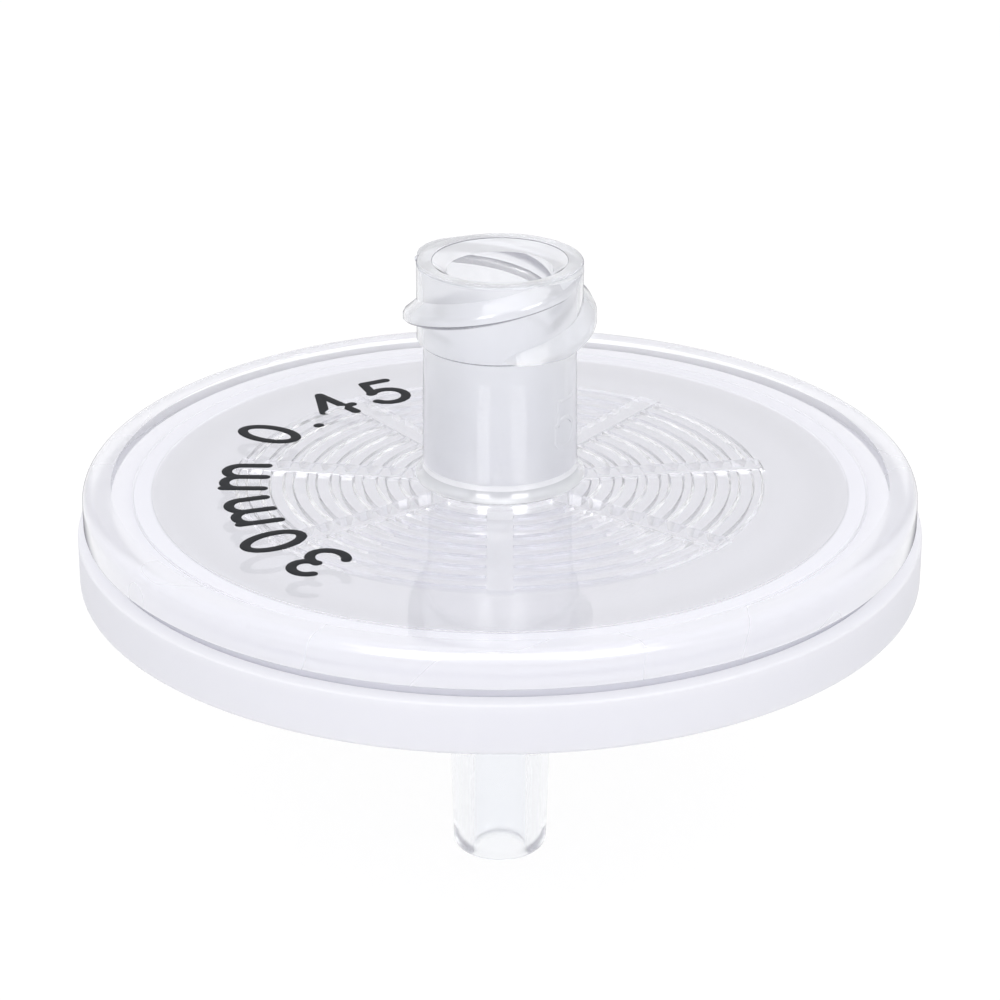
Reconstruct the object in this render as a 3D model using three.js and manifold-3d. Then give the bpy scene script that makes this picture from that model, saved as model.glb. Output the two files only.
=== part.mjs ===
// A 30 mm syringe filter: a clear inlet shell with a female Luer lock hub, a nylon membrane
// and a translucent white outlet shell with a male Luer slip spout.
//
// Millimetres, +Z up. The origin is the centre of the spout's open end, and the spout, the disc
// and the hub share the Z axis. The front of the part faces -Y.

import * as THREE from 'three';
import * as BufferGeometryUtils from 'three/addons/utils/BufferGeometryUtils.js';
import Module from 'manifold-3d';

const wasm = await Module();
wasm.setup();

// Driving dimensions

const LUER_TAPER = 0.03; // change of radius for each millimetre of length: a 6 % taper

// Heights of the main levels
const DISC_BOTTOM = 13.3;
const LIP_TOP = 15.4; // upper edge of the outlet shell's outer wall
const MEMBRANE_BOTTOM = 15.77;
const MEMBRANE_THICKNESS = 0.18;
const FLANGE_BOTTOM = 15.87;
const DISC_TOP = 17.37;
const HUB_TOP = 26.55;

// Inlet shell
const FLANGE_RADIUS = 17.1;
const FLANGE_ROUNDING = 0.5;
const CHAMBER_RADIUS = 14.25; // inside the clamp ring, the inlet face clears the membrane
const CHAMBER_HEIGHT = 0.15;
const MEMBRANE_POCKET_GAP = 0.1; // round the membrane's edge
const SKIRT_INNER_RADIUS = 16.0;
const SKIRT_OUTER_RADIUS = 16.6;
const SKIRT_BOTTOM = 14.5;

// Hub on the inlet shell
const HEAD_RADIUS = 3.365;
const HEAD_HEIGHT = 3.3;
const STEM_TOP_RADIUS = 3.11;
const STEM_BASE_RADIUS = 3.17;
const STEM_FLARE_WIDTH = 0.35;
const STEM_FLARE_HEIGHT = 0.9;
const SOCKET_RADIUS = 2.16; // at the inner end of the lead-in
const SOCKET_DEPTH = 8.6;
const LEAD_IN_WIDTH = 0.56;
const LEAD_IN_DEPTH = 0.4;
const INLET_HOLE_RADIUS = 0.9;

// Luer lock lugs: two starts of a right-hand thread
const LUG_LEAD = 5;
const LUG_CREST_RADIUS = 3.915;
const LUG_CREST_WIDTH = 0.48;
const LUG_UPPER_FLANK = 0.42; // what this flank adds to the width at the foot
const LUG_LOWER_FLANK = 0.22; // steeper, since it takes the pull of the lock
const LUG_FOOT_BELOW = 0.5; // from the middle of the section down to the foot's lower edge
const LUG_ROOT_DEPTH = 0.3; // how far the flanks run on inside the head
const LUG_START = 93; // degrees from +X, anticlockwise seen from above
const LUG_SWEEP = 265;
const LUG_START_RISE = -0.15; // height of the first section's middle above the head's lower edge
const LUG_BLUNT_ANGLE = 20;
const LUG_START_FULLNESS = 0.6;
const LUG_RUN_OUT_ANGLE = 46;
const LUG_END_FULLNESS = 0.27;
const LUG_BOTTOM_GAP = 0.18; // kept between the lugs and the head's lower edge
const LUG_TOP_GAP = 0.04; // and the hub's face
const LUG_STARTS = 2;

// Distribution grooves under the inlet plate
const GROOVE_COUNT = 8;
const GROOVE_OUTER_RADIUS = 10.58; // middle of the outermost groove
const GROOVE_PITCH = 0.958;
const GROOVE_WIDTH = 0.43;
const GROOVE_DEPTH = 0.27;
const INLET_WELL_RADIUS = 3; // the channels start from this shallow well under the hub
const INLET_WELL_DEPTH = 0.45;
const CHANNEL_REACH = 10.95;
const CHANNEL_WIDTH = 0.9;
const CHANNEL_DEPTH = 0.36;
const CHANNEL_ANGLES = [0, 53.5, 98, 143.5, 180, 216.5, 262, 306.5]; // anticlockwise from the front

// Outlet shell
const OUTLET_RADIUS = 17.35;
const OUTLET_TOP_ROUNDING = 0.1;
const OUTLET_BOTTOM_ROUNDING = 0.2;
const OUTLET_WALL_INNER_RADIUS = 16.66;
const SEAT_RADIUS = 15.94; // outside of the ring that carries the membrane's edge
const JOINT_GROOVE_BOTTOM = 14.4;

// Drainage channels on the outlet shell's floor
const DRAIN_COUNT = 6;
const DRAIN_OUTER_RADIUS = 12.95; // middle of the outermost drain
const DRAIN_PITCH = 1.95;
const DRAIN_WIDTH = 1.1;
const DRAIN_DEPTH = 0.85;
const SPOKE_COUNT = 8;
const SPOKE_REACH = 13.5;
const SPOKE_WIDTH = 1.2;
const SPOKE_DEPTH = 0.95;
const DRAIN_WELL_RADIUS = 1.9;
const DRAIN_WELL_DEPTH = 1.05;

// Spout on the outlet shell
const SPOUT_TIP_RADIUS = 1.977;
const SPOUT_TIP_ROUNDING = 0.45;
const SPOUT_TAPER_LENGTH = 9.5;
const SPOUT_BORE_RADIUS = 1.1;
const SPOUT_FILLET = 0.6;

// Membrane
const MEMBRANE_RADIUS = 15;

// Facets
const SHELL_FACETS = 72; // in a full turn
const WELL_FACETS = 32;
const GROOVE_FACET_LENGTH = 2.1;
const DRAIN_FACET_LENGTH = 2.6;
const LUG_STEP = 5; // degrees
const ROUNDING_STEPS = 3; // across a rounded edge

const CUT_PAST = 0.1; // how far a cutter runs on past the face that it opens
const LUG_CLEARANCE = 1; // between the lugs' crests and the outside of the ring that trims them

const MEMBRANE_TOP = MEMBRANE_BOTTOM + MEMBRANE_THICKNESS;
const PLATE_BOTTOM = MEMBRANE_TOP + CHAMBER_HEIGHT;
const HEAD_BOTTOM = HUB_TOP - HEAD_HEIGHT;

// Geometry helpers

const point = (radius, height) => new THREE.Vector2(radius, height);

/** Points of an elliptical quarter about a centre, angles in degrees. */
function arc(radius, height, width, rise, from, to) {
  return Array.from({ length: ROUNDING_STEPS + 1 }, (_, i) => {
    const angle = THREE.MathUtils.degToRad(from + ((to - from) * i) / ROUNDING_STEPS);
    return point(radius + width * Math.cos(angle), height + rise * Math.sin(angle));
  });
}

/** A body of revolution about Z. The profile runs up its outer side, and closes here. */
function revolve(profile, facets) {
  const closed = [...profile, profile[0].clone()];
  return new THREE.LatheGeometry(closed, facets).rotateX(Math.PI / 2);
}

function ring(innerRadius, outerRadius, bottom, top, facets) {
  const profile = [
    point(innerRadius, bottom),
    point(outerRadius, bottom),
    point(outerRadius, top),
    point(innerRadius, top),
  ];
  return revolve(profile, facets);
}

function disc(radius, bottom, top, facets) {
  return new THREE.CylinderGeometry(radius, radius, top - bottom, facets)
    .rotateX(Math.PI / 2)
    .translate(0, 0, (bottom + top) / 2);
}

function toSolid(geometry) {
  const bare = geometry.clone();
  bare.deleteAttribute('normal');
  bare.deleteAttribute('uv');
  const merged = BufferGeometryUtils.mergeVertices(bare, 1e-5);
  const mesh = new wasm.Mesh({
    numProp: 3,
    vertProperties: Float32Array.from(merged.attributes.position.array),
    triVerts: Uint32Array.from(merged.index.array),
  });
  return new wasm.Manifold(mesh);
}

function toGeometry(solid) {
  const mesh = solid.getMesh();
  const geometry = new THREE.BufferGeometry();
  const places = Float32Array.from(mesh.vertProperties);
  geometry.setAttribute('position', new THREE.BufferAttribute(places, 3));
  geometry.setIndex(new THREE.BufferAttribute(Uint32Array.from(mesh.triVerts), 1));
  geometry.computeVertexNormals();
  return geometry;
}

const joined = (solids) => solids.reduce((whole, next) => whole.add(next));

/** A straight bar pointing away from the axis, at an angle in radians from +X. */
function radialBar(start, reach, width, bottom, top, angle) {
  const bar = new THREE.BoxGeometry(reach - start, width, top - bottom);
  bar.translate((start + reach) / 2, 0, (bottom + top) / 2);
  return bar.rotateZ(angle);
}

/** A stretch of a ring about the axis, between two angles in radians from +X. */
function ringStretch(radius, width, bottom, top, from, to, facetLength) {
  const shape = new THREE.Shape();
  shape.absarc(0, 0, radius + width / 2, from, to, false);
  shape.absarc(0, 0, radius - width / 2, to, from, true);
  const curveSegments = Math.max(2, Math.round(((to - from) * radius) / facetLength));
  const extrusion = { depth: top - bottom, curveSegments, bevelEnabled: false };
  return new THREE.ExtrudeGeometry(shape, extrusion).translate(0, 0, bottom);
}

/**
 * Cutters for a pattern of ring grooves and radial channels. Each ring is cut in stretches that end inside
 * the deeper channels on either side, and the channels start inside a well, deeper still, in the middle.
 */
function flowCutters({ radii, width, spans, spokes, spokeReach, spokeWidth, wellRadius, facetLength }) {
  const endInSpoke = spokeWidth / 4;
  const startInWell = wellRadius / 2;
  const rings = radii.flatMap((radius) =>
    spokes.map((from, i) => {
      const next = i + 1 < spokes.length ? spokes[i + 1] : spokes[0] + 2 * Math.PI;
      const inset = endInSpoke / radius;
      return ringStretch(radius, width, ...spans.ring, from + inset, next - inset, facetLength);
    }),
  );
  const bars = spokes.map((angle) => radialBar(startInWell, spokeReach, spokeWidth, ...spans.spoke, angle));
  const well = disc(wellRadius, ...spans.well, WELL_FACETS);
  return joined([...rings, ...bars, well].map(toSolid));
}

// Inlet shell

function inletBody() {
  const innerSocket = HUB_TOP - SOCKET_DEPTH;
  const socketLength = SOCKET_DEPTH - LEAD_IN_DEPTH;
  const pocketRadius = MEMBRANE_RADIUS + MEMBRANE_POCKET_GAP;
  const edgeRadius = FLANGE_RADIUS - FLANGE_ROUNDING;
  const edgeHeight = DISC_TOP - FLANGE_ROUNDING;
  const flareRadius = STEM_BASE_RADIUS + STEM_FLARE_WIDTH;
  const flareHeight = DISC_TOP + STEM_FLARE_HEIGHT;
  const profile = [
    point(INLET_HOLE_RADIUS, PLATE_BOTTOM),
    point(CHAMBER_RADIUS, PLATE_BOTTOM),
    point(CHAMBER_RADIUS, MEMBRANE_TOP),
    point(pocketRadius, MEMBRANE_TOP),
    point(pocketRadius, MEMBRANE_BOTTOM),
    point(SKIRT_INNER_RADIUS, MEMBRANE_BOTTOM),
    point(SKIRT_INNER_RADIUS, SKIRT_BOTTOM),
    point(SKIRT_OUTER_RADIUS, SKIRT_BOTTOM),
    point(SKIRT_OUTER_RADIUS, FLANGE_BOTTOM),
    point(FLANGE_RADIUS, FLANGE_BOTTOM),
    ...arc(edgeRadius, edgeHeight, FLANGE_ROUNDING, FLANGE_ROUNDING, 0, 90),
    ...arc(flareRadius, flareHeight, STEM_FLARE_WIDTH, STEM_FLARE_HEIGHT, 270, 180),
    point(STEM_TOP_RADIUS, HEAD_BOTTOM),
    point(HEAD_RADIUS, HEAD_BOTTOM),
    point(HEAD_RADIUS, HUB_TOP),
    point(SOCKET_RADIUS + LEAD_IN_WIDTH, HUB_TOP),
    point(SOCKET_RADIUS, HUB_TOP - LEAD_IN_DEPTH),
    point(SOCKET_RADIUS - LUER_TAPER * socketLength, innerSocket),
    point(INLET_HOLE_RADIUS, innerSocket),
  ];
  return toSolid(revolve(profile, SHELL_FACETS));
}

/** The share of its full height that a lug has along its sweep: it starts blunt and sinks into the head. */
function lugFullness(angle) {
  const rise = LUG_START_FULLNESS + angle / LUG_BLUNT_ANGLE;
  const leftToRunOut = (LUG_SWEEP - angle) / LUG_RUN_OUT_ANGLE;
  const fall = LUG_END_FULLNESS + (1 - LUG_END_FULLNESS) * leftToRunOut;
  return Math.min(rise, 1, fall);
}

/** One lug: a straight trapezoidal bar, one unit of length for each degree, wound up the head. */
function lug(start) {
  const root = HEAD_RADIUS - LUG_ROOT_DEPTH;
  const flankShare = (LUG_CREST_RADIUS - root) / (LUG_CREST_RADIUS - HEAD_RADIUS);
  const crestBottom = LUG_LOWER_FLANK - LUG_FOOT_BELOW;
  const crestTop = crestBottom + LUG_CREST_WIDTH;
  // y counts downwards, so that the faces still point out when the bar is wound
  const section = new THREE.Shape([
    point(root, -crestTop - LUG_UPPER_FLANK * flankShare),
    point(LUG_CREST_RADIUS, -crestTop),
    point(LUG_CREST_RADIUS, -crestBottom),
    point(root, -crestBottom + LUG_LOWER_FLANK * flankShare),
  ]);
  const extrusion = { depth: LUG_SWEEP, steps: LUG_SWEEP / LUG_STEP, bevelEnabled: false };
  const bar = new THREE.ExtrudeGeometry(section, extrusion);
  const places = bar.attributes.position;
  for (let i = 0; i < places.count; i += 1) {
    const along = places.getZ(i);
    const radius = root + (places.getX(i) - root) * lugFullness(along);
    const middle = HEAD_BOTTOM + LUG_START_RISE + (LUG_LEAD * along) / 360;
    const height = middle - places.getY(i);
    const angle = THREE.MathUtils.degToRad(start + along);
    places.setXYZ(i, radius * Math.cos(angle), radius * Math.sin(angle), height);
  }
  return toSolid(bar);
}

function lugs() {
  const apart = 360 / LUG_STARTS;
  const starts = Array.from({ length: LUG_STARTS }, (_, i) => lug(LUG_START + apart * i));
  const innerReach = HEAD_RADIUS - 2 * LUG_ROOT_DEPTH;
  const outerReach = LUG_CREST_RADIUS + LUG_CLEARANCE;
  const bottom = HEAD_BOTTOM + LUG_BOTTOM_GAP;
  const reach = ring(innerReach, outerReach, bottom, HUB_TOP - LUG_TOP_GAP, SHELL_FACETS);
  return joined(starts).intersect(toSolid(reach));
}

function distributionGrooves() {
  const below = PLATE_BOTTOM - CUT_PAST;
  return flowCutters({
    radii: Array.from({ length: GROOVE_COUNT }, (_, i) => GROOVE_OUTER_RADIUS - GROOVE_PITCH * i),
    width: GROOVE_WIDTH,
    spans: {
      ring: [below, PLATE_BOTTOM + GROOVE_DEPTH],
      spoke: [below, PLATE_BOTTOM + CHANNEL_DEPTH],
      well: [below, PLATE_BOTTOM + INLET_WELL_DEPTH],
    },
    spokes: CHANNEL_ANGLES.map((angle) => THREE.MathUtils.degToRad(angle - 90)),
    spokeReach: CHANNEL_REACH,
    spokeWidth: CHANNEL_WIDTH,
    wellRadius: INLET_WELL_RADIUS,
    facetLength: GROOVE_FACET_LENGTH,
  });
}

function inletShell() {
  return toGeometry(inletBody().add(lugs()).subtract(distributionGrooves()));
}

// Membrane

function membrane() {
  return disc(MEMBRANE_RADIUS, MEMBRANE_BOTTOM, MEMBRANE_TOP, SHELL_FACETS);
}

// Outlet shell

function outletBody() {
  const spoutRadius = (height) => SPOUT_TIP_RADIUS + LUER_TAPER * Math.min(height, SPOUT_TAPER_LENGTH);
  const tipRadius = spoutRadius(SPOUT_TIP_ROUNDING) - SPOUT_TIP_ROUNDING;
  const rootRadius = spoutRadius(DISC_BOTTOM);
  const filletHeight = DISC_BOTTOM - SPOUT_FILLET;
  const cornerRadius = OUTLET_RADIUS - OUTLET_BOTTOM_ROUNDING;
  const cornerHeight = DISC_BOTTOM + OUTLET_BOTTOM_ROUNDING;
  const lipRadius = OUTLET_RADIUS - OUTLET_TOP_ROUNDING;
  const lipHeight = LIP_TOP - OUTLET_TOP_ROUNDING;
  const profile = [
    point(SPOUT_BORE_RADIUS, 0),
    ...arc(tipRadius, SPOUT_TIP_ROUNDING, SPOUT_TIP_ROUNDING, SPOUT_TIP_ROUNDING, -90, 0),
    point(rootRadius, SPOUT_TAPER_LENGTH),
    ...arc(rootRadius + SPOUT_FILLET, filletHeight, SPOUT_FILLET, SPOUT_FILLET, 180, 90),
    ...arc(cornerRadius, cornerHeight, OUTLET_BOTTOM_ROUNDING, OUTLET_BOTTOM_ROUNDING, -90, 0),
    ...arc(lipRadius, lipHeight, OUTLET_TOP_ROUNDING, OUTLET_TOP_ROUNDING, 0, 90),
    point(OUTLET_WALL_INNER_RADIUS, LIP_TOP),
    point(OUTLET_WALL_INNER_RADIUS, JOINT_GROOVE_BOTTOM),
    point(SEAT_RADIUS, JOINT_GROOVE_BOTTOM),
    point(SEAT_RADIUS, MEMBRANE_BOTTOM),
    point(SPOUT_BORE_RADIUS, MEMBRANE_BOTTOM),
  ];
  return toSolid(revolve(profile, SHELL_FACETS));
}

function drainage() {
  const above = MEMBRANE_BOTTOM + CUT_PAST;
  return flowCutters({
    radii: Array.from({ length: DRAIN_COUNT }, (_, i) => DRAIN_OUTER_RADIUS - DRAIN_PITCH * i),
    width: DRAIN_WIDTH,
    spans: {
      ring: [MEMBRANE_BOTTOM - DRAIN_DEPTH, above],
      spoke: [MEMBRANE_BOTTOM - SPOKE_DEPTH, above],
      well: [MEMBRANE_BOTTOM - DRAIN_WELL_DEPTH, above],
    },
    spokes: Array.from({ length: SPOKE_COUNT }, (_, i) => ((i + 0.5) * 2 * Math.PI) / SPOKE_COUNT),
    spokeReach: SPOKE_REACH,
    spokeWidth: SPOKE_WIDTH,
    wellRadius: DRAIN_WELL_RADIUS,
    facetLength: DRAIN_FACET_LENGTH,
  });
}

function outletShell() {
  return toGeometry(outletBody().subtract(drainage()));
}

// Assembly

const clearPlastic = new THREE.MeshStandardMaterial({
  color: 0xf1f2f7,
  roughness: 0.12,
  metalness: 0,
  transparent: true,
  opacity: 0.4,
});
const whitePlastic = new THREE.MeshStandardMaterial({ color: 0xf2f2fa, roughness: 0.3, metalness: 0 });
const nylon = new THREE.MeshStandardMaterial({ color: 0xeeeef2, roughness: 0.85, metalness: 0 });

function part(name, geometry, material) {
  const mesh = new THREE.Mesh(geometry, material);
  mesh.name = name;
  return mesh;
}

const syringeFilter = new THREE.Group();
syringeFilter.add(
  part('outlet_shell', outletShell(), whitePlastic),
  part('membrane', membrane(), nylon),
  part('inlet_shell', inletShell(), clearPlastic),
);

export default syringeFilter;
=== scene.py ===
"""A 30 mm syringe filter: clear inlet shell with a Luer lock hub, nylon membrane, white outlet shell.

Pieces are modelled in millimetres, about the Z axis that the hub, the disc and the spout share, and
go to metres once they are finished. The front of the part faces -Y.
"""

import math

import bpy
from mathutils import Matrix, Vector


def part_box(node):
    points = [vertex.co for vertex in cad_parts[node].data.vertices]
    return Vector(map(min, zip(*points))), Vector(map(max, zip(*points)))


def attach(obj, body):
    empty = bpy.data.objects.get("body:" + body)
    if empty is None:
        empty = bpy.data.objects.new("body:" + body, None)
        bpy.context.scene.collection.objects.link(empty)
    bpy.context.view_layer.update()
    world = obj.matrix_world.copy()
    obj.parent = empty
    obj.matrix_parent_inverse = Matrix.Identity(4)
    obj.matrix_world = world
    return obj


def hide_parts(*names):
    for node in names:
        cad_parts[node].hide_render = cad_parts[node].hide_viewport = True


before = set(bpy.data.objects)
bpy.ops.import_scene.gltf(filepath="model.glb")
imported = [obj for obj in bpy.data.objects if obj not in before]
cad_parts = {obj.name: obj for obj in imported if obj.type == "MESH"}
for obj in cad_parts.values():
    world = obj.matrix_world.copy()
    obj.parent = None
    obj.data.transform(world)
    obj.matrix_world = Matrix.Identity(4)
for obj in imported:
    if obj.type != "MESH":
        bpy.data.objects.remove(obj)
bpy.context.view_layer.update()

MM = 0.001

# Levels and radii that the frame gives
inlet_low, inlet_high = (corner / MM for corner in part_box("inlet_shell"))
_, outlet_high = (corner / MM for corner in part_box("outlet_shell"))
sheet_low, sheet_high = (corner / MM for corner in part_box("membrane"))

HUB_TOP = inlet_high.z
SKIRT_BOTTOM = inlet_low.z
FLANGE_RADIUS = inlet_high.x
OUTLET_RADIUS = outlet_high.x
MEMBRANE_RADIUS = sheet_high.x
MEMBRANE_BOTTOM = sheet_low.z
MEMBRANE_TOP = sheet_high.z
MEMBRANE_ROUNDING = 0.04
MEMBRANE_CLEARANCE = 0.01  # under it, so that its face and the white shell's don't coincide

# Luer sizes
LUER_TAPER = 0.03  # change of radius for each millimetre of length
HEAD_RADIUS = 3.365
HEAD_HEIGHT = 3.3
HEAD_CHAMFER = 0.07
HEAD_ROUNDING = 0.08  # at its upper edge
# The dark line round the top of the head is painted shade
HEAD_EDGE = 0.1  # width of the dark line around the top of the head
SOCKET_RADIUS = 2.16  # at the inner end of the lead-in
SOCKET_DEPTH = 8.6
LEAD_IN_WIDTH = 0.56
LEAD_IN_DEPTH = 0.4
MOUTH_RADIUS = SOCKET_RADIUS + LEAD_IN_WIDTH
MOUTH_ROUNDING = 0.05
# The dark line round the mouth is painted shade
MOUTH_EDGE = 0.06  # width of the dark line around the mouth
INLET_HOLE_RADIUS = 0.9
SPOUT_TIP_RADIUS = 1.977
SPOUT_TIP_ROUNDING = 0.45
SPOUT_TAPER_LENGTH = 9.5
SPOUT_BORE_RADIUS = 1.1

# Clear shell
DISC_RISE = 1.6  # from the seat under the membrane to the top of the plate
DISC_TOP = MEMBRANE_BOTTOM + DISC_RISE
FLANGE_THICKNESS = 1.5
FLANGE_BOTTOM = DISC_TOP - FLANGE_THICKNESS
FLANGE_ROUNDING = 0.5
FLANGE_LOWER_ROUNDING = 0.08
CHAMBER_RADIUS = 14.25
CHAMBER_HEIGHT = 0.15
CONTACT_PRESS = 0.01  # how far the clear shell overlaps what it clamps, so that no air shows there
POCKET_GAP = 0.1  # round the membrane's edge
POCKET_RADIUS = MEMBRANE_RADIUS + POCKET_GAP
SKIRT_INNER_RADIUS = 15.93  # welded to the seat of the white shell
SKIRT_OUTER_RADIUS = 16.6
STEM_TOP_RADIUS = 3.11
STEM_BASE_RADIUS = 3.17
STEM_FLARE_WIDTH = 0.35
STEM_FLARE_HEIGHT = 0.9
HEAD_BOTTOM = HUB_TOP - HEAD_HEIGHT
PLATE_BOTTOM = MEMBRANE_TOP + CHAMBER_HEIGHT

NUB_ANGLE = 169  # degrees from +X, anticlockwise seen from above
NUB_DROP = 0.17  # below the hub's face
NUB_RADIUS = 0.14

# Lock lugs
LUG_LEAD = 5
LUG_CREST_RADIUS = 3.915
LUG_CREST_WIDTH = 0.48
LUG_UPPER_FLANK = 0.42  # what this flank adds to the width at the foot
LUG_LOWER_FLANK = 0.22  # steeper, since it takes the pull of the lock
LUG_FOOT_BELOW = 0.5
LUG_CHAMFER = 0.08  # along both edges of the crest, twice as tall on the upper one
LUG_ROOT_DEPTH = 0.3
LUG_START = 93  # degrees, as the nub's
LUG_SWEEP = 265
LUG_START_RISE = -0.15
LUG_BLUNT_ANGLE = 20
LUG_START_FULLNESS = 0.6
LUG_RUN_OUT_ANGLE = 46
LUG_END_FULLNESS = 0.27
LUG_BOTTOM_GAP = 0.18
LUG_TOP_GAP = 0.04
LUG_STEP = 2.5
LUG_ROWS = 3  # of faces across a lug: a chamfer, the crest and the other chamfer
LUG_TRIM_WIDTH = 2.5  # of the ring that trims the lugs to the head's height

# Distribution grooves
GROOVE_COUNT = 8
GROOVE_OUTER_RADIUS = 10.58
GROOVE_PITCH = 0.958
GROOVE_WIDTH = 0.43
GROOVE_DEPTH = 0.27
GROOVE_DRAFT = 0.07  # how far each wall leans
INLET_WELL_RADIUS = 3
INLET_WELL_DEPTH = 0.45
CHANNEL_REACH = 10.95
CHANNEL_WIDTH = 0.9
CHANNEL_DEPTH = 0.36
CHANNEL_ANGLES = (0, 53.5, 98, 143.5, 180, 216.5, 262, 306.5)  # anticlockwise from the front

# White shell
DISC_BOTTOM = 13.3
LIP_TOP = 15.4
OUTLET_TOP_ROUNDING = 0.1
OUTLET_BOTTOM_ROUNDING = 0.2
OUTLET_WALL_INNER_RADIUS = 16.66
SEAT_RADIUS = 15.94
JOINT_GROOVE_BOTTOM = 14.4
SPOUT_FILLET = 0.6
DRAIN_COUNT = 6
DRAIN_OUTER_RADIUS = 12.95
DRAIN_PITCH = 1.95
DRAIN_WIDTH = 1.1
DRAIN_DEPTH = 0.85
SPOKE_COUNT = 8
SPOKE_REACH = 13.5
SPOKE_WIDTH = 1.2
SPOKE_DEPTH = 0.95
DRAIN_WELL_RADIUS = 1.9
DRAIN_WELL_DEPTH = 1.05

# Characters
PRINT_TEXT = "30mm 0.45"
PRINT_BASE_RADIUS = 9.4
PRINT_CENTRE_Y = -0.8  # the arc of the print lies a little towards the front
PRINT_HEIGHT = 2.9
PRINT_PEN = 0.44
PRINT_GAP = 0.86
PRINT_WORD_GAP = 1.6
PRINT_START = 234  # degrees, as the nub's, from where the letters go clockwise
PRINT_THICKNESS = 0.02
PRINT_SINK = 0.004  # into the plate
STEM_DIGIT = "5"
STEM_DIGIT_HEIGHT = 2.3
STEM_DIGIT_PEN = 0.24
STEM_DIGIT_ANGLE = 327
STEM_DIGIT_FOOT = 19.05
STEM_DIGIT_RISE = 0.075

FINE_TURN = 256  # steps in a full turn of a large piece
WELL_TURN = 96
CUT_PAST = 0.1  # how far a cutter runs on past the face that it opens
MERGE_DISTANCE = 1e-5  # points that are closer than this become one
TIP_ANGLE = 4  # degrees, so that the first ring of a stroke's round end has some width


# Modelling by hand, in millimetres


def deselect():
    bpy.ops.object.select_all(action="DESELECT")


def arc(radius, height, width, rise, start, end, steps):
    """Points along part of an ellipse about a centre, angles in degrees."""
    points = []
    for step in range(steps + 1):
        angle = math.radians(start + (end - start) * step / steps)
        points.append((radius + width * math.cos(angle), height + rise * math.sin(angle)))
    return points


def turned(name, profile, steps=FINE_TURN):
    """A solid turned from a closed outline of (radius, height) points."""
    deselect()
    bpy.ops.mesh.primitive_plane_add(size=1, location=(0, 0, 0))
    piece = bpy.context.object
    piece.name = name
    bpy.ops.object.mode_set(mode="EDIT")
    bpy.ops.mesh.select_all(action="SELECT")
    bpy.ops.mesh.merge(type="CENTER")
    radius, height = profile[0]
    bpy.ops.transform.translate(value=(radius, 0, height))
    for next_radius, next_height in profile[1:]:
        along = (next_radius - radius, 0, next_height - height)
        bpy.ops.mesh.extrude_vertices_move(TRANSFORM_OT_translate={"value": along})
        radius, height = next_radius, next_height
    bpy.ops.mesh.extrude_vertices_move(
        TRANSFORM_OT_translate={"value": (profile[0][0] - radius, 0, profile[0][1] - height)}
    )
    bpy.ops.mesh.select_all(action="SELECT")
    bpy.ops.mesh.remove_doubles(threshold=MERGE_DISTANCE)
    bpy.ops.mesh.spin(steps=steps, angle=math.tau, center=(0, 0, 0), axis=(0, 0, 1))
    bpy.ops.mesh.select_all(action="SELECT")
    bpy.ops.mesh.remove_doubles(threshold=MERGE_DISTANCE)
    bpy.ops.mesh.normals_make_consistent(inside=False)
    bpy.ops.object.mode_set(mode="OBJECT")
    return piece


def block(name, low, high):
    """A box between two corners."""
    deselect()
    centre = [(a + b) / 2 for a, b in zip(low, high)]
    size = [b - a for a, b in zip(low, high)]
    bpy.ops.mesh.primitive_cube_add(size=1, location=centre, scale=size)
    piece = bpy.context.object
    piece.name = name
    bpy.ops.object.transform_apply(location=True, rotation=True, scale=True)
    return piece


def turn_by(piece, degrees):
    piece.rotation_euler.z = math.radians(degrees)
    deselect()
    piece.select_set(True)
    bpy.context.view_layer.objects.active = piece
    bpy.ops.object.transform_apply(location=True, rotation=True, scale=True)


def combine(piece, tool, operation):
    """Joins, cuts or trims a piece by another one, which is used up."""
    deselect()
    piece.select_set(True)
    bpy.context.view_layer.objects.active = piece
    modifier = piece.modifiers.new(operation.title(), "BOOLEAN")
    modifier.operation = operation
    modifier.object = tool
    modifier.solver = "EXACT"
    bpy.ops.object.modifier_apply(modifier=modifier.name)
    bpy.data.objects.remove(tool)
    return piece


def finished(piece, material, sharp_angle=35):
    """Takes a finished piece to metres, smooths it, gives it its material and puts it on the body."""
    deselect()
    piece.select_set(True)
    bpy.context.view_layer.objects.active = piece
    piece.scale = (MM, MM, MM)
    bpy.ops.object.transform_apply(location=True, rotation=True, scale=True)
    bpy.ops.object.shade_smooth_by_angle(angle=math.radians(sharp_angle))
    piece.data.materials.clear()
    piece.data.materials.append(material)
    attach(piece, "root")
    return piece


# Clear inlet shell


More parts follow.
